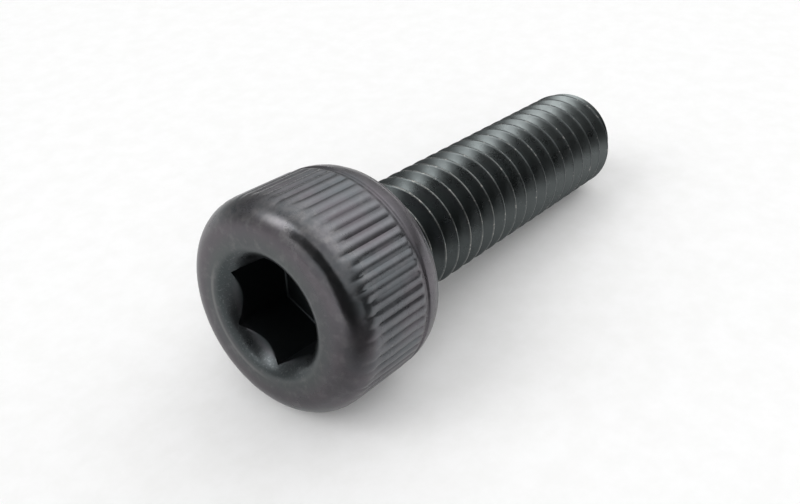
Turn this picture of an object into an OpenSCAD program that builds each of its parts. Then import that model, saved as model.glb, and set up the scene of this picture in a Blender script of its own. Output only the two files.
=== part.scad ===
// Knurled socket head cap screw, M4 x 14, lying on its side as it comes to rest.
// The screw is built along its own axis, with the bearing face at z = 0, the head below and the
// tip above. The last step lays it down: its axis turns to +X and dips until the tip touches z = 0.
// All sizes are in millimetres.

/* [Thread] */
// Diameter over the thread crests
thread_diameter = 3.92; // [3.5:0.01:4.5]
// Axial advance of one turn
thread_pitch = 0.7; // [0.5:0.05:1.0]
// Length from the bearing face to the tip
shank_length = 14; // [8:0.5:25]
// Shortest plain neck between the head and the thread
neck_length = 0.5; // [0.3:0.1:2.0]
// Radius of the fillet between the neck and the bearing face
neck_fillet = 0.25; // [0.1:0.05:0.4]
// Width of the 45 degree chamfer at the tip
tip_chamfer = 0.55; // [0.3:0.05:0.8]
// Flat sides in one turn of the helix
thread_sides = 36; // [24:4:40]
// Turn of the thread about the axis
thread_turn = 98; // [0:1:359]

/* [Head] */
// Diameter over the knurl
head_diameter = 6.84; // [6.0:0.02:8.0]
// Height from the front face to the bearing face
head_height = 4.0; // [3.4:0.1:5.0]
// Radius of the rounded edge round the front face
front_rounding = 0.8; // [0.3:0.05:1.0]
// Height of the plain collar between the knurl and the bearing face
collar_height = 0.8; // [0.4:0.05:1.2]
// Step from the knurl's ridges down to the collar
collar_step = 0.07; // [0.03:0.01:0.12]
// Diameter of the bearing face
bearing_diameter = 6.4; // [5.4:0.05:6.5]
// Radius of the rim round the bearing face
rim_rounding = 0.15; // [0.05:0.01:0.25]

/* [Knurl] */
// Ridges round the head
knurl_count = 60; // [40:2:80]
// Depth of the grooves
knurl_depth = 0.14; // [0.08:0.01:0.2]
// Angle between a groove's two walls
knurl_angle = 90; // [70:5:100]

/* [Socket] */
// Hexagon width across flats
socket_width = 3.04; // [2.5:0.01:3.5]
// Depth from the front face to the socket's floor
socket_depth = 2.35; // [1.8:0.05:2.6]
// Diameter of the conical mouth on the front face
mouth_diameter = 4.12; // [3.8:0.02:4.6]
// Angle between the mouth's cone and the axis
mouth_angle = 45; // [30:5:60]
// Diameter of the conical dimple in the socket's floor
dimple_diameter = 2.4; // [1.0:0.1:2.6]
// Depth of the dimple
dimple_depth = 0.25; // [0.1:0.05:0.5]
// Turn of the hexagon about the axis
socket_turn = 54; // [0:1:59]

/* [Hidden] */
$fn = 96;
overlap = 0.02;

// ISO metric profile: 60 degree flanks, a crest an eighth of the pitch wide and the standard depth
thread_depth = 0.6134 * thread_pitch;
crest_width = thread_pitch / 8;
flank_width = thread_depth * tan(30);
root_width = thread_pitch - crest_width - 2 * flank_width;
crest_radius = thread_diameter / 2;
root_radius = crest_radius - thread_depth;
// The thread is rolled into a blank of about the pitch diameter, and fades out of it near the head
blank_radius = crest_radius - thread_depth / 2;
runout_length = 1.5 * thread_pitch;
runout_turns = 1.2;
tip_turns = 0.6;
first_height = 0.25;
thread_turns = floor((shank_length - neck_length) / thread_pitch);
thread_start = shank_length - thread_turns * thread_pitch;
tip_radius = crest_radius - tip_chamfer;

head_radius = head_diameter / 2;
bearing_radius = bearing_diameter / 2;
collar_radius = head_radius - collar_step;
mouth_radius = mouth_diameter / 2;
socket_radius = socket_width / sqrt(3);
mouth_depth = (mouth_radius - dimple_diameter / 2) / tan(mouth_angle);
knurl_pitch_angle = 360 / knurl_count;

// A groove is at the bottom, so the head rests on the two ridges beside it
ridge_height = head_radius * cos(knurl_pitch_angle / 2);
contact_length = shank_length - tip_chamfer + collar_height;
rest_tilt = atan((ridge_height - crest_radius) / contact_length);
rest_height = ridge_height * cos(rest_tilt) - collar_height * sin(rest_tilt);
front_reach = (head_height - front_rounding) * cos(rest_tilt)
    + (head_radius - front_rounding) * sin(rest_tilt) + front_rounding;
tip_reach = shank_length * cos(rest_tilt) + tip_radius * sin(rest_tilt);
rest_shift = (front_reach - tip_reach) / 2;

// Half section of the head: rounded front edge, knurled band, tapered collar, rounded rim
module head_section() {
    translate([0, -head_height])
        square([head_radius - front_rounding, head_height - collar_height]);
    translate([0, -head_height + front_rounding])
        square([head_radius, head_height - front_rounding - collar_height]);
    translate([head_radius - front_rounding, -head_height + front_rounding])
        circle(r = front_rounding);
    polygon([
        [0, -collar_height - overlap],
        [collar_radius, -collar_height - overlap],
        [collar_radius, -collar_height],
        [bearing_radius, -rim_rounding],
        [bearing_radius - rim_rounding, 0],
        [0, 0]
    ]);
    translate([bearing_radius - rim_rounding, -rim_rounding])
        circle(r = rim_rounding);
}

// One V groove of the knurl, its apex towards the axis
module knurl_groove() {
    reach = knurl_depth + collar_step;
    half_width = reach * tan(knurl_angle / 2);
    polygon([
        [head_radius - knurl_depth, 0],
        [head_radius - knurl_depth + reach, -half_width],
        [head_radius - knurl_depth + reach, half_width]
    ]);
}

// All grooves, rolled from the front face back to the collar
module knurl() {
    translate([0, 0, -head_height - overlap])
        linear_extrude(height = head_height - collar_height + overlap)
            for (i = [0 : knurl_count - 1])
                rotate(i * knurl_pitch_angle)
                    knurl_groove();
}

// Hexagon socket with a conical mouth and a dimpled floor
module socket() {
    translate([0, 0, -head_height]) {
        rotate(socket_turn)
            translate([0, 0, -overlap])
                cylinder(r = socket_radius, h = socket_depth + overlap, $fn = 6);
        cylinder(r1 = mouth_radius, r2 = dimple_diameter / 2, h = mouth_depth);
        translate([0, 0, socket_depth - overlap])
            cylinder(r = dimple_diameter / 2, h = overlap);
        translate([0, 0, socket_depth])
            cylinder(r1 = dimple_diameter / 2, r2 = 0, h = dimple_depth);
    }
}

module head() {
    difference() {
        rotate_extrude()
            head_section();
        knurl();
        socket();
    }
}

// Plain neck under the head, with its fillet onto the bearing face
module neck() {
    neck_radius = blank_radius - overlap;
    translate([0, 0, -overlap])
        cylinder(r = neck_radius, h = thread_start + 2 * overlap);
    rotate_extrude()
        translate([neck_radius, 0])
            difference() {
                translate([-overlap, -overlap])
                    square([neck_fillet + overlap, neck_fillet + overlap]);
                translate([neck_fillet, neck_fillet])
                    circle(r = neck_fillet);
            }
}

// Height of thread row b above the start of its turn: root end, crest start, crest end, root start
function row_offset(b) =
    root_width / 2 + (b > 0 ? flank_width : 0) + (b > 1 ? crest_width : 0) + (b > 2 ? flank_width : 0);

// Root radius at height z: it sinks out of the blank over the runout
function root_at(z) =
    let (u = min(1, (z - thread_start) / runout_length))
    blank_radius - (blank_radius - root_radius) * u * u;

// Share of the full depth that the ridge has after t turns of its helix
function ridge_share(t) =
    let (last = thread_turns - 1)
    min(1, first_height + t / runout_turns, first_height + (last - t) / tip_turns);

// Radius of row b after t turns at height z, cut back by the chamfer at the tip
function row_radius(b, t, z) =
    let (is_crest = b == 1 || b == 2)
    min(root_at(z) + (is_crest ? (crest_radius - root_at(z)) * ridge_share(t) : 0),
        tip_radius + shank_length - z);

function row_point(row, side) =
    let (
        b = row % 4,
        t = floor(row / 4) + side / thread_sides,
        z = thread_start + t * thread_pitch + row_offset(b),
        r = row_radius(b, t, z),
        a = 360 * side / thread_sides
    )
    [r * cos(a), r * sin(a), z];

function ring(r, z) =
    [for (side = [0 : thread_sides - 1])
        [r * cos(360 * side / thread_sides), r * sin(360 * side / thread_sides), z]];

// The threaded shank is one closed skin. Four rows of points a turn follow the helix, and a turn's
// last point is the first of the turn above. A ring closes each end, and a small upright face
// closes the ridge where it starts and where it stops.
module thread() {
    rows = 4 * (thread_turns - 1);
    n = thread_sides;
    low = rows * n;
    top_points = low + 4;
    start_ring = top_points;
    end_ring = start_ring + n;
    points = concat(
        [for (row = [0 : rows - 1], side = [0 : n - 1]) row_point(row, side)],
        [for (row = [rows - 4 : rows - 1]) row_point(row, n)],
        ring(blank_radius, thread_start),
        ring(tip_radius, shank_length)
    );
    // Index of a point: past the last side it is the same point, one turn further up
    function at(row, side) =
        side < n ? row * n + side
        : row + 4 < rows ? (row + 4) * n
        : low + row + 4 - rows;
    function at_start(side) = start_ring + side % n;
    function at_end(side) = end_ring + side % n;
    function quad(a, b, c, d) = [[a, b, c], [a, c, d]];
    flanks = [for (row = [0 : rows - 2], side = [0 : n - 1])
        each quad(at(row, side), at(row + 1, side), at(row + 1, side + 1), at(row, side + 1))];
    start_band = [for (side = [0 : n - 1])
        each quad(at_start(side), at(0, side), at(0, side + 1), at_start(side + 1))];
    end_band = [for (side = [0 : n - 1])
        each quad(at(rows - 1, side), at_end(side), at_end(side + 1), at(rows - 1, side + 1))];
    ridge_start = [
        [at(0, 0), at(2, 0), at(1, 0)], [at(0, 0), at(3, 0), at(2, 0)],
        [at(0, 0), at(0, n), at(3, 0)], [at(0, 0), at_start(0), at(0, n)]
    ];
    stop = rows - 4;
    ridge_stop = [
        [at(stop, n), at(stop + 1, n), at(stop + 2, n)], [at(stop, n), at(stop + 2, n), at(stop + 3, n)],
        [at(stop, n), at(stop + 3, n), at_end(0)], [at(stop, n), at_end(0), at(stop - 1, n)]
    ];
    caps = [
        [for (side = [0 : n - 1]) at_start(side)],
        [for (side = [0 : n - 1]) at_end(n - 1 - side)]
    ];
    rotate(thread_turn)
        polyhedron(points, concat(flanks, start_band, end_band, ridge_start, ridge_stop, caps),
            convexity = 10);
}

// Lays the screw down: ridges and tip on z = 0, centred along X
module at_rest() {
    translate([rest_shift, 0, rest_height])
        rotate([0, 90 + rest_tilt, 0])
            children();
}

module cap_screw() {
    color("DimGray")
        at_rest()
            union() {
                head();
                neck();
                thread();
            }
}

cap_screw();
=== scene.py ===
"""Socket head cap screw, M4 x 14, lying on a white sheet: knurled head, hexagon socket, rolled thread."""

import math

import bpy
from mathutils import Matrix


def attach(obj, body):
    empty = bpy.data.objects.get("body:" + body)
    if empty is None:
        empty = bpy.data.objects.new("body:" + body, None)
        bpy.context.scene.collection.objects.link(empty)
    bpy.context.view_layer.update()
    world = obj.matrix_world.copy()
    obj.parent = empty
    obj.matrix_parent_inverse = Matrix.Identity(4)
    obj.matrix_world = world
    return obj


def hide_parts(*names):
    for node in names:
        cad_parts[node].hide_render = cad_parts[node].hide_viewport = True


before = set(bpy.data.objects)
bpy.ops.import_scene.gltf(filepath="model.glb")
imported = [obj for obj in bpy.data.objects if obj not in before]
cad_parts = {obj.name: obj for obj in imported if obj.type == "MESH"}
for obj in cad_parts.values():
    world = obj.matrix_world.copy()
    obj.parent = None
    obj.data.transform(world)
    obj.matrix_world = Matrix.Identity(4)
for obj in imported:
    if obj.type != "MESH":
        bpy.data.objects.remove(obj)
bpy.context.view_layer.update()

# ---------------------------------------------------------------------------------------------
# The head: cold headed from round bar, with a straight knurl rolled round its side and a hexagon
# punched into its front. The screw is worked upright in millimetres, bearing face at z = 0 and
# tip up, and is laid down at the end.
# ---------------------------------------------------------------------------------------------
HEAD_RADIUS = 3.42
HEAD_HEIGHT = 4.0
FRONT_ROUNDING = 0.88
RIM_CENTRE = 3.05
RIM_ROUNDING = 0.15
MOUTH_RADIUS = 2.2
MOUTH_CURVE = 1.25
SOCKET_FLAT = 1.52
SOCKET_FLOOR = -1.65
SOCKET_TURN = 54
BLANK_RADIUS = 1.745
NECK_FILLET = 0.25
HEAD_SIDES = 600


def arc(centre, radius, start, stop, steps):
    """Points (r, z) along a turned rounding, from one angle to another in degrees."""
    angles = [math.radians(start + (stop - start) * i / steps) for i in range(steps + 1)]
    return [(centre[0] + radius * math.cos(a), centre[1] + radius * math.sin(a)) for a in angles]


def drawn(name, outline):
    """Draws a line through points (r, z), one by one, and leaves its object in edit mode."""
    bpy.ops.object.select_all(action="DESELECT")
    bpy.ops.mesh.primitive_plane_add(size=1, location=(0, 0, 0))
    line = bpy.context.object
    line.name = name
    bpy.ops.object.mode_set(mode="EDIT")
    bpy.ops.mesh.select_mode(type="VERT")
    bpy.ops.mesh.select_all(action="SELECT")
    bpy.ops.mesh.merge(type="CENTER")
    r, z = outline[0]
    bpy.ops.transform.translate(value=(r, 0, z))
    for next_r, next_z in outline[1:]:
        step = (next_r - r, 0, next_z - z)
        bpy.ops.mesh.extrude_vertices_move(TRANSFORM_OT_translate={"value": step})
        r, z = next_r, next_z
    return line


def turned(name, outline, sides):
    """Spins half an outline round the axis and closes the solid."""
    solid = drawn(name, outline)
    bpy.ops.mesh.select_all(action="SELECT")
    bpy.ops.mesh.spin(steps=sides, angle=2 * math.pi, center=(0, 0, 0), axis=(0, 0, 1))
    bpy.ops.mesh.select_all(action="SELECT")
    bpy.ops.mesh.remove_doubles(threshold=1e-5)
    bpy.ops.mesh.normals_make_consistent(inside=False)
    bpy.ops.object.mode_set(mode="OBJECT")
    return solid


def lerp(a, b, t):
    """The value that is the share t of the way from a to b."""
    return a + (b - a) * t


def mouth(r):
    """Height of the mouth, a funnel that curves in from the face."""
    return front + MOUTH_CURVE * (MOUTH_RADIUS - r) ** 2


front = -HEAD_HEIGHT
flat_top = mouth(SOCKET_FLAT)
head_outline = (
    # floor of the socket, dimpled by the punch
    [(0, -1.42), (0.35, -1.45), (0.9, -1.6), (1.2, -1.645), (1.4, SOCKET_FLOOR), (1.48, SOCKET_FLOOR)]
    # wall, up to the flats' upper ends
    + [(SOCKET_FLAT, lerp(SOCKET_FLOOR, flat_top, t)) for t in (0.02, 0.3, 0.6, 0.9, 0.99)]
    # funnelled mouth
    + [(r, mouth(r)) for r in (1.525, 1.56, 1.62, 1.69, 1.76, 1.83, 1.9, 1.97, 2.04, 2.1, 2.15)]
    + [(MOUTH_RADIUS, front)]
    # front face and the rounded edge round it
    + [(2.35, front)]
    + arc((HEAD_RADIUS - FRONT_ROUNDING, front + FRONT_ROUNDING), FRONT_ROUNDING, -90, 0, 18)
    # knurled side
    + [(HEAD_RADIUS, lerp(-3.04, -1.05, i / 20)) for i in range(21)]
    # the knurl runs out into a shallow valley beside the plain, tapered collar
    + [(HEAD_RADIUS - 0.003, -1.0), (3.41, -0.96), (3.396, -0.92), (3.38, -0.88), (3.368, -0.84)]
    + [(3.364, -0.81), (3.37, -0.785), (3.384, -0.765), (3.397, -0.745), (3.402, -0.72)]
    + [(3.4, -0.69), (3.388, -0.6), (3.362, -0.46), (3.315, -0.3), (3.262, -0.2)]
    # rounded rim and bearing face
    + arc((RIM_CENTRE, -RIM_ROUNDING), RIM_ROUNDING + 0.02, 0, 60, 4)
    + arc((RIM_CENTRE, -RIM_ROUNDING), RIM_ROUNDING, 75, 90, 2)
    + [(2.6, 0), (BLANK_RADIUS + NECK_FILLET + 0.03, 0)]
    # fillet and neck, tapering inside the thread
    + arc((BLANK_RADIUS + NECK_FILLET, NECK_FILLET), NECK_FILLET, -90, -180, 6)
    + [(BLANK_RADIUS, 0.6), (1.735, 0.85), (1.70, 1.1), (1.64, 1.35), (1.56, 1.6), (1.48, 1.8), (0, 1.9)]
)
head = turned("head", head_outline, HEAD_SIDES)

# The punch: the turned bore is pushed out to the hexagon, and the mouth is drawn back to meet its
# walls, which gives the scalloped edge. The middle of the dimpled floor stays round.
ROUND_ABOVE = -1.64
for v in head.data.vertices:
    r = math.hypot(v.co.x, v.co.y)
    if r < 1e-6 or v.co.z > ROUND_ABOVE or r > MOUTH_RADIUS - 0.001:
        continue
    turn = math.atan2(v.co.y, v.co.x)
    from_flat = (math.degrees(turn) - SOCKET_TURN) % 60 - 30
    hexagon = SOCKET_FLAT / math.cos(math.radians(from_flat))
    if abs(r - SOCKET_FLAT) < 1e-4:
        t = (flat_top - v.co.z) / (flat_top - SOCKET_FLOOR)
        new_r, new_z = hexagon, lerp(mouth(hexagon), SOCKET_FLOOR, t)
    elif v.co.z < flat_top + 1e-4:
        new_r = lerp(MOUTH_RADIUS, hexagon, (MOUTH_RADIUS - r) / (MOUTH_RADIUS - SOCKET_FLAT))
        new_z = mouth(new_r)
    else:
        new_r, new_z = r * hexagon / SOCKET_FLAT, v.co.z
    v.co = (new_r * math.cos(turn), new_r * math.sin(turn), new_z)

# The knurl: sixty V grooves between rounded ridges, each a little uneven. The wheel bites less and
# less towards the front, so the grooves fade out in the rounding, and end in a valley at the collar.
RIDGES = 60
RIDGE_TURN = 3
GROOVE_DEPTH = 0.046
GROOVE_START = front + 0.42
GROOVE_RISE = 0.85
GROOVE_END = -0.83
GROOVE_FALL = 0.26


def ease(t):
    """0 below 0, 1 above 1, and smooth between."""
    t = max(0.0, min(1.0, t))
    return t * t * (3 - 2 * t)


for v in head.data.vertices:
    r = math.hypot(v.co.x, v.co.y)
    if r < 2.9 or v.co.z > -0.8 or v.co.z < front + 0.1:
        continue
    turn = math.degrees(math.atan2(v.co.y, v.co.x))
    place = (turn - RIDGE_TURN) % 360 * RIDGES / 360 - RIDGES
    cut = 1 - abs(math.cos(math.pi * place))
    uneven = math.sin(2.7 * math.floor(place)) + math.sin(1.9 * math.floor(place) + 1)
    depth = GROOVE_DEPTH * (1 + 0.07 * uneven)
    bite = ease((v.co.z - GROOVE_START - 0.1 * uneven) / GROOVE_RISE)
    fade = ease((GROOVE_END - v.co.z) / GROOVE_FALL)
    new_r = r - depth * cut * bite * fade
    v.co.x *= new_r / r
    v.co.y *= new_r / r

# ---------------------------------------------------------------------------------------------
# The shank: a thread rolled into the blank. One pitch of its profile is swept up the helix and
# trimmed by a turned envelope: a cone where it fades out near the head, a chamfer at the tip.
# ---------------------------------------------------------------------------------------------
PITCH = 0.7
CREST_RADIUS = 1.96
CREST_AT = 1.952
CREST_TURN = 202.2
SHANK_LENGTH = 14.0
TIP_CHAMFER = 0.36
THREAD_SIDES = 80
SPARE_LENGTH = 0.8
CLEAR_RADIUS = 2.05

# the sweep starts at a crest below the bearing face and ends past the tip
first_crest = (CREST_AT - PITCH * CREST_TURN / 360) % PITCH - 2 * PITCH
turns = math.ceil((SHANK_LENGTH + SPARE_LENGTH - first_crest) / PITCH + 0.5)
# half a tooth from root to crest: rounded root, straight flank, rounded worn crest
half_tooth = [(1.53, -0.35), (1.534, -0.31), (1.555, -0.27), (1.592, -0.24)]
half_tooth = half_tooth + [(1.912, -0.055), (1.942, -0.04), (1.957, -0.022)]
tooth = half_tooth + [(CREST_RADIUS, 0.0)] + [(r, -z) for r, z in reversed(half_tooth)]

thread = drawn("thread", [(r, first_crest + z) for r, z in tooth])
bpy.ops.object.mode_set(mode="OBJECT")
bpy.ops.object.modifier_add(type="SCREW")
sweep = thread.modifiers[-1]
sweep.axis = "Z"
sweep.angle = 2 * math.pi
sweep.screw_offset = PITCH
sweep.iterations = turns
sweep.steps = THREAD_SIDES
sweep.render_steps = THREAD_SIDES
sweep.use_smooth_shade = False
bpy.ops.object.modifier_apply(modifier=sweep.name)
bpy.ops.object.mode_set(mode="EDIT")
bpy.ops.mesh.select_all(action="SELECT")
bpy.ops.mesh.remove_doubles(threshold=1e-4)
bpy.ops.mesh.select_all(action="DESELECT")
for end in (first_crest, first_crest + PITCH * turns):
    # each open end is drawn in to a point near the axis, beyond what the envelope keeps
    bpy.ops.mesh.select_mode(type="EDGE")
    bpy.ops.mesh.select_non_manifold()
    bpy.ops.object.mode_set(mode="OBJECT")
    points = thread.data.vertices
    for e in thread.data.edges:
        height = sum(points[i].co.z for i in e.vertices) / 2
        e.select = e.select and abs(height - end) <= PITCH
    rim = {i for e in thread.data.edges if e.select for i in e.vertices}
    for v in points:
        v.select = v.index in rim
    bpy.ops.object.mode_set(mode="EDIT")
    bpy.ops.mesh.extrude_edges_move()
    bpy.ops.mesh.merge(type="CENTER")
    bpy.ops.mesh.select_all(action="DESELECT")
bpy.ops.mesh.select_all(action="SELECT")
bpy.ops.mesh.normals_make_consistent(inside=False)
bpy.ops.object.mode_set(mode="OBJECT")

envelope_outline = (
    # inside the neck, and out along the cone in which the thread fades
    [(0, 0.2), (1.5, 0.2), (1.52, 0.32), (CLEAR_RADIUS, 1.25)]
    # clear of the crests, and in along the chamfer
    + [(CLEAR_RADIUS, SHANK_LENGTH - TIP_CHAMFER - 0.09), (1.46, SHANK_LENGTH - 0.05)]
    # soft edge and slightly dished end face
    + [(1.43, SHANK_LENGTH - 0.03), (1.38, SHANK_LENGTH - 0.01), (1.3, SHANK_LENGTH)]
    + [(1.1, SHANK_LENGTH - 0.015), (0.6, SHANK_LENGTH - 0.05), (0, SHANK_LENGTH - 0.06)]
)
envelope = turned("envelope", envelope_outline, 120)


def combine(solid, other, operation):
    """Cuts or joins two solids and leaves the first."""
    bpy.ops.object.select_all(action="DESELECT")
    bpy.context.view_layer.objects.active = solid
    solid.select_set(True)
    bpy.ops.object.modifier_add(type="BOOLEAN")
    boolean = solid.modifiers[-1]
    boolean.operation = operation
    boolean.solver = "MANIFOLD"
    boolean.object = other
    bpy.ops.object.modifier_apply(modifier=boolean.name)
    bpy.data.objects.remove(other)


combine(thread, envelope, "INTERSECT")
combine(head, thread, "UNION")
screw = head
screw.name = "cap_screw_body"

# ---------------------------------------------------------------------------------------------
# The screw laid down at its real size, as it comes to rest on two ridges of the knurl and the tip.
# ---------------------------------------------------------------------------------------------
REST_TILT = math.radians(5.831242)
REST_AT = (-0.00491059, 0, 0.00331636)
screw.scale = (0.001, 0.001, 0.001)
screw.rotation_euler = (0, math.pi / 2 + REST_TILT, 0)
screw.location = REST_AT
bpy.ops.object.select_all(action="DESELECT")
screw.select_set(True)
bpy.context.view_layer.objects.active = screw
bpy.ops.object.transform_apply(location=True, rotation=True, scale=True)
bpy.ops.object.shade_smooth_by_angle(angle=math.radians(32))


# ---------------------------------------------------------------------------------------------
# The screw's finish, black oxide: the steel's own surface turned to a thin dark layer, satin where
# it was tumbled, oiled and darker in the thread, worn back towards steel on the sharp crests.
# Painted highlights and painted shade are laid into its colour too, and each is marked below.
# ---------------------------------------------------------------------------------------------
class Value:
    """A socket of a finish. Sums and products of values add the Math nodes that they need."""

    def __init__(self, finish, socket):
        self.finish = finish
        self.socket = socket

    def __add__(self, other):
        return self.finish.math("ADD", self, other)

    def __radd__(self, other):
        return self.finish.math("ADD", other, self)

    def __sub__(self, other):
        return self.finish.math("SUBTRACT", self, other)

    def __rsub__(self, other):
        return self.finish.math("SUBTRACT", other, self)

    def __mul__(self, other):
        return self.finish.math("MULTIPLY", self, other)

    def __rmul__(self, other):
        return self.finish.math("MULTIPLY", other, self)

    def __pow__(self, other):
        return self.finish.math("POWER", self, other)


class Finish:
    """The nodes of a material or of the world, written as expressions."""

    def __init__(self, owner, surface):
        owner.use_nodes = True
        self.owner = owner
        self.tree = owner.node_tree
        self.surface = self.tree.nodes[surface]

    def put(self, socket, value):
        """Links a value to a socket, or sets the socket to a number or a colour."""
        if isinstance(value, Value):
            self.tree.links.new(value.socket, socket)
        else:
            socket.default_value = value

    def node(self, kind, settings=None, output=0, **inputs):
        """Adds a node, sets it up, fills its sockets and returns one of its outputs."""
        made = self.tree.nodes.new(kind)
        for key, value in (settings or {}).items():
            setattr(made, key, value)
        for key, value in inputs.items():
            name = int(key[1:]) if key[1:].isdigit() else key.replace("_", " ")
            self.put(made.inputs[name], value)
        return Value(self, made.outputs[output])

    def math(self, operation, a, b):
        """One sum, product or power. The operators of Value come here."""
        return self.node("ShaderNodeMath", {"operation": operation}, i0=a, i1=b)

    def rise(self, value, low, high):
        """0 below low, 1 above high, and smooth between; low may be above high."""
        smooth = {"interpolation_type": "SMOOTHSTEP"}
        return self.node("ShaderNodeMapRange", smooth, Value=value, From_Min=low, From_Max=high)

    def noise(self, where, scale, detail, roughness):
        """A cloudy pattern between 0 and 1."""
        sockets = {"Vector": where, "Scale": scale, "Detail": detail, "Roughness": roughness}
        return self.node("ShaderNodeTexNoise", output="Fac", **sockets)

    def blend(self, amount, a, b):
        """One colour passing into another."""
        return self.node("ShaderNodeMix", {"data_type": "RGBA"}, output=2, i0=amount, i6=a, i7=b)

    def axes(self, vector):
        """The three parts of a vector."""
        parts = self.node("ShaderNodeSeparateXYZ", i0=vector).socket.node.outputs
        return [Value(self, part) for part in parts]


# Places on the screw in millimetres, along its axis from the bearing face and out from the axis.
oxide = Finish(bpy.data.materials.new("black_oxide"), "Principled BSDF")
sin, cos = math.sin(REST_TILT), math.cos(REST_TILT)
along = REST_AT[0] * cos - REST_AT[2] * sin
above = REST_AT[0] * sin + REST_AT[2] * cos
screw_place = oxide.node(
    "ShaderNodeMapping",
    Vector=oxide.node("ShaderNodeTexCoord", output="Object"),
    Scale=(1000, 1000, 1000),
    Rotation=(0, -REST_TILT, 0),
    Location=(-1000 * along, 0, -1000 * above),
)
axial, side_y, side_z = oxide.axes(screw_place)
radius = (side_y * side_y + side_z * side_z) ** 0.5

on_shank = oxide.rise(axial, 0.02, 0.12)
thread_crest = oxide.rise(radius, CREST_RADIUS - 0.035, CREST_RADIUS - 0.003) * on_shank
on_face = oxide.rise(axial, front + 0.2, front + 0.02)
near_mouth = oxide.rise(radius, MOUTH_RADIUS + 0.55, MOUTH_RADIUS - 0.05)
# A painted highlight along the rim of the mouth, on its lower left only.
mouth_rim_highlight = oxide.rise(radius, MOUTH_RADIUS - 0.1, MOUTH_RADIUS - 0.02) * on_face
mouth_rim_highlight = mouth_rim_highlight * oxide.rise(radius, MOUTH_RADIUS + 0.07, MOUTH_RADIUS)
mouth_rim_highlight = mouth_rim_highlight * oxide.rise(side_y, -0.5, 0.8) * oxide.rise(side_z, 1.2, 0.2)
# The mouth funnel, darkened by painted shade and flecked with pale grains.
in_mouth = oxide.rise(radius, MOUTH_RADIUS - 0.08, MOUTH_RADIUS - 0.25)
in_mouth = in_mouth * oxide.rise(axial, front + 0.5, front + 0.3)
# Painted shade in the socket.
in_socket = oxide.rise(radius, 1.95, 1.8) * oxide.rise(axial, front + 0.28, front + 0.55)
in_socket = in_socket * oxide.rise(axial, 0.0, -0.1)
knurled = oxide.rise(axial, -0.8, -1.0) * oxide.rise(axial, front + 0.5, front + 1.2)
# Knurl crests made lighter: partly wear, partly a painted highlight.
ridge_wear_and_highlight = oxide.rise(radius, HEAD_RADIUS - 0.03, HEAD_RADIUS) * knurled
# Painted shade in the bottoms of the knurl's grooves.
groove_painted_shade = oxide.rise(radius, HEAD_RADIUS - 0.025, HEAD_RADIUS - 0.055) * knurled
# The rounded front edge: rubbed patches all round, and a painted highlight that is strongest on top.
rounding_rub_and_highlight = oxide.rise(radius, 2.7, 2.95) * oxide.rise(axial, front + 1.6, front + 1.0)
rounding_rub_and_highlight = rounding_rub_and_highlight * (0.2 + 0.8 * oxide.rise(side_z, 1.2, 2.6))
polished = oxide.rise(radius, 2.4, 2.7) * oxide.rise(axial, front + 1.3, front + 0.7)
polished = polished * oxide.rise(side_y, -0.3, -1.9)

# Colour: broad tints, clouds and rubbed patches first, then each form's own colour with painted
# highlights and painted shade, then wear.
tint = oxide.noise(screw_place, 0.5, 2.0, 0.5)
cloud = oxide.noise(screw_place, 0.8, 4.0, 0.6)
patch = oxide.noise(screw_place, 3.0, 5.0, 0.65)
grain = oxide.noise(screw_place, 14.0, 4.0, 0.65)
speck = oxide.noise(screw_place, 9.0, 1.0, 0.4)
tinted = oxide.rise(tint, 0.4, 0.6)
to_tip = oxide.rise(axial, 2, 13)
side_colour = oxide.blend(tinted, (0.180, 0.166, 0.183, 1), (0.163, 0.178, 0.190, 1))
face_colour = oxide.blend(near_mouth, (0.151, 0.137, 0.150, 1), (0.126, 0.137, 0.137, 1))
shank_colour = oxide.blend(to_tip, (0.115, 0.129, 0.130, 1), (0.152, 0.168, 0.168, 1))
wear = thread_crest * oxide.rise(patch, 0.38, 0.62) * 0.32 * oxide.rise(axial, 9, 2)
wear = wear + thread_crest * oxide.rise(speck, 0.64, 0.70) * 0.6
layers = [
    (on_face, face_colour),
    # dark clouds and pale rubbed patches
    (oxide.rise(cloud, 0.62, 0.38) * 0.5, (0.117, 0.118, 0.127, 1)),
    (oxide.rise(patch, 0.48, 0.75) * 0.5, (0.238, 0.229, 0.237, 1)),
    # painted highlight on the lower left of the mouth's rim
    (mouth_rim_highlight * 0.6, (0.25, 0.25, 0.25, 1)),
    # rubbed patches on the rounding, with a painted highlight strongest on top
    (rounding_rub_and_highlight * oxide.rise(patch, 0.3, 0.8) * 0.85, (0.250, 0.244, 0.249, 1)),
    # lighter ridges, partly wear and partly painted highlight
    (ridge_wear_and_highlight * (0.2 + 0.7 * patch), (0.250, 0.256, 0.274, 1)),
    # painted shade in the grooves
    (groove_painted_shade * 0.4, (0.098, 0.101, 0.110, 1)),
    # painted shade in the mouth, with pale grains, and painted shade in the socket
    (in_mouth * 0.85, (0.073, 0.085, 0.088, 1)),
    (in_mouth * oxide.rise(grain, 0.55, 0.65) * 0.6, (0.183, 0.201, 0.205, 1)),
    (in_socket, (0.071, 0.080, 0.085, 1)),
    # the shank, with darker crests towards the tip
    (on_shank, shank_colour),
    (thread_crest * oxide.rise(axial, 4, 11) * 0.7, (0.061, 0.068, 0.071, 1)),
    # fine grain all over, and steel where the crests are worn
    (oxide.rise(grain, 0.35, 0.75) * 0.12, (0.085, 0.088, 0.093, 1)),
    (wear, (0.439, 0.427, 0.402, 1)),
]
colour = side_colour
for amount, over in layers:
    colour = oxide.blend(amount, colour, over)
oxide.put(oxide.surface.inputs["Base Color"], colour)
oxide.surface.inputs["Metallic"].default_value = 1.0
rough = 0.29 + 0.16 * (patch - 0.5) + 0.1 * (cloud - 0.5)
rough = rough + 0.03 * on_face + 0.1 * in_socket - 0.09 * polished
oxide.put(oxide.surface.inputs["Roughness"], rough)
height = (grain + 1.5 * patch) * (1 - 0.6 * on_shank)
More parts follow.
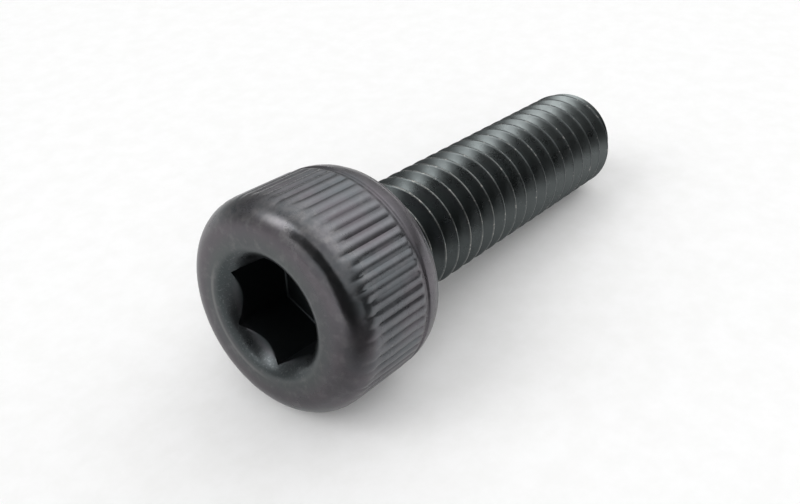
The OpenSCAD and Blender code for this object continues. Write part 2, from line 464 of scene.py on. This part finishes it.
bump = oxide.node("ShaderNodeBump", Strength=0.4, Distance=0.000004, Height=height)
oxide.put(oxide.surface.inputs["Normal"], bump)
screw.data.materials.clear()
screw.data.materials.append(oxide.owner)

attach(screw, "root")
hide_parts("cap_screw")

# ---------------------------------------------------------------------------------------------
# The white sheet that the screw lies on, with a paper's faint grain. In reflections it is a little
# darker, and nearly black on the camera's side: a painted shadow, as if something dark stood there.
# ---------------------------------------------------------------------------------------------
bpy.ops.object.select_all(action="DESELECT")
bpy.ops.mesh.primitive_plane_add(size=0.6, location=(0, 0, 0))
sheet = bpy.context.object
sheet.name = "sheet"
paper = Finish(bpy.data.materials.new("white_sheet"), "Principled BSDF")
sheet_place = paper.node("ShaderNodeTexCoord", output="Object")
x, y, _ = paper.axes(sheet_place)
nearer = -0.775 * x - 0.632 * y
rightward = 0.632 * x - 0.775 * y
mirrored = paper.node("ShaderNodeLightPath", output="Is Glossy Ray")
# Painted shade seen only in reflections: a little all over, and nearly black on the camera's side.
shade = 0.18 + 0.7 * paper.rise(nearer, 0.004, 0.016) * paper.rise(rightward, -0.016, 0.0)
fibre = paper.rise(paper.noise(sheet_place, 900.0, 4.0, 0.7), 0.3, 0.7)
white = paper.blend(fibre, (0.91, 0.91, 0.905, 1), (0.94, 0.94, 0.94, 1))
white = paper.blend(mirrored * shade, white, (0, 0, 0, 1))
paper.put(paper.surface.inputs["Base Color"], white)
paper.surface.inputs["Roughness"].default_value = 0.9
sheet.data.materials.append(paper.owner)

# ---------------------------------------------------------------------------------------------
# Light: a pale room, brighter overhead and behind the screw, with a small bright window at the left.
# ---------------------------------------------------------------------------------------------
room = Finish(bpy.data.worlds.new("room"), "Background")
bpy.context.scene.world = room.owner
east, north, up = room.axes(room.node("ShaderNodeTexCoord", output="Generated"))


def towards(azimuth, elevation, inner, outer):
    """1 within the inner angle of a direction, 0 beyond the outer one, in degrees."""
    a, e = math.radians(azimuth), math.radians(elevation)
    near = east * (math.cos(a) * math.cos(e)) + north * (math.sin(a) * math.cos(e)) + up * math.sin(e)
    return room.rise(near, math.cos(math.radians(outer)), math.cos(math.radians(inner)))


# azimuth, elevation, inner and outer angle, and how much it adds
patches_of_light = [
    (8, 52, 15, 55, 0.62),
    (-38, 46, 10, 42, 0.31),
    (-52, 4, 10, 45, -0.18),
    (-112, 55, 10, 42, 0.25),
    (152, 43, 8, 24, 3.2),
    (172, 10, 12, 42, 0.4),
]
glow = 0.26 + 0.17 * room.rise(up, 0.35, 0.8)
for azimuth, elevation, inner, outer, added in patches_of_light:
    glow = glow + added * towards(azimuth, elevation, inner, outer)
seen = room.node("ShaderNodeLightPath", output="Is Camera Ray")
room.put(room.surface.inputs["Strength"], seen + (1 - seen) * glow)
room.surface.inputs["Color"].default_value = (1, 1, 1, 1)

# A broad soft lamp behind the camera fills the shadows on the sheet. The steel doesn't mirror it.
bpy.ops.object.light_add(type="SUN", rotation=(math.radians(56), 0, math.radians(-51)))
fill = bpy.context.object
fill.data.energy = 1.05
fill.data.angle = math.radians(50)
fill.visible_glossy = False

# The camera looks down past the head to the tip, about 34 degrees below level.
bpy.ops.object.camera_add(
    location=(-0.0220192, -0.0156982, 0.0195836),
    rotation=(math.radians(55.49832), math.radians(1.64292), math.radians(-51.94584)),
)
camera = bpy.context.object
camera.data.sensor_width = 36
camera.data.lens = 40.706
camera.data.clip_start = 0.001
camera.data.clip_end = 10
bpy.context.scene.camera = camera
bpy.context.scene.view_settings.view_transform = "Standard"

# ---------------------------------------------------------------------------------------------
# A dark card round the camera, fading to grey at its right. Only reflections show it: it gives the
# steel something dark to mirror, so that the face and the rounding don't look pale.
# ---------------------------------------------------------------------------------------------
CARD_CORNERS = [
    *[(-24, 20), (-33, 17), (-40, 12), (-62, 13), (-62, 6), (-34, 4), (-13, -4)],
    *[(-10, -23), (45, -23), (45, -8), (8, -5), (-4, 8), (-14, 17)],
]
bpy.ops.object.select_all(action="DESELECT")
bpy.ops.mesh.primitive_circle_add(vertices=len(CARD_CORNERS), fill_type="NGON", location=(0, 0, 0))
card = bpy.context.object
card.name = "dark_card"
for v, (right, rise) in zip(card.data.vertices, CARD_CORNERS):
    v.co = (right / 1000, rise / 1000, 0.0005)
card.location = camera.location
card.rotation_euler = camera.rotation_euler
card.visible_camera = False
card.visible_diffuse = False
card.visible_shadow = False
dark = Finish(bpy.data.materials.new("dark_card"), "Principled BSDF")
across, _, _ = dark.axes(dark.node("ShaderNodeTexCoord", output="Object"))
card_colour = dark.blend(dark.rise(across, 0.004, 0.04), (0.03, 0.03, 0.03, 1), (0.42, 0.42, 0.42, 1))
dark.put(dark.surface.inputs["Base Color"], card_colour)
dark.surface.inputs["Roughness"].default_value = 0.9
card.data.materials.append(dark.owner)
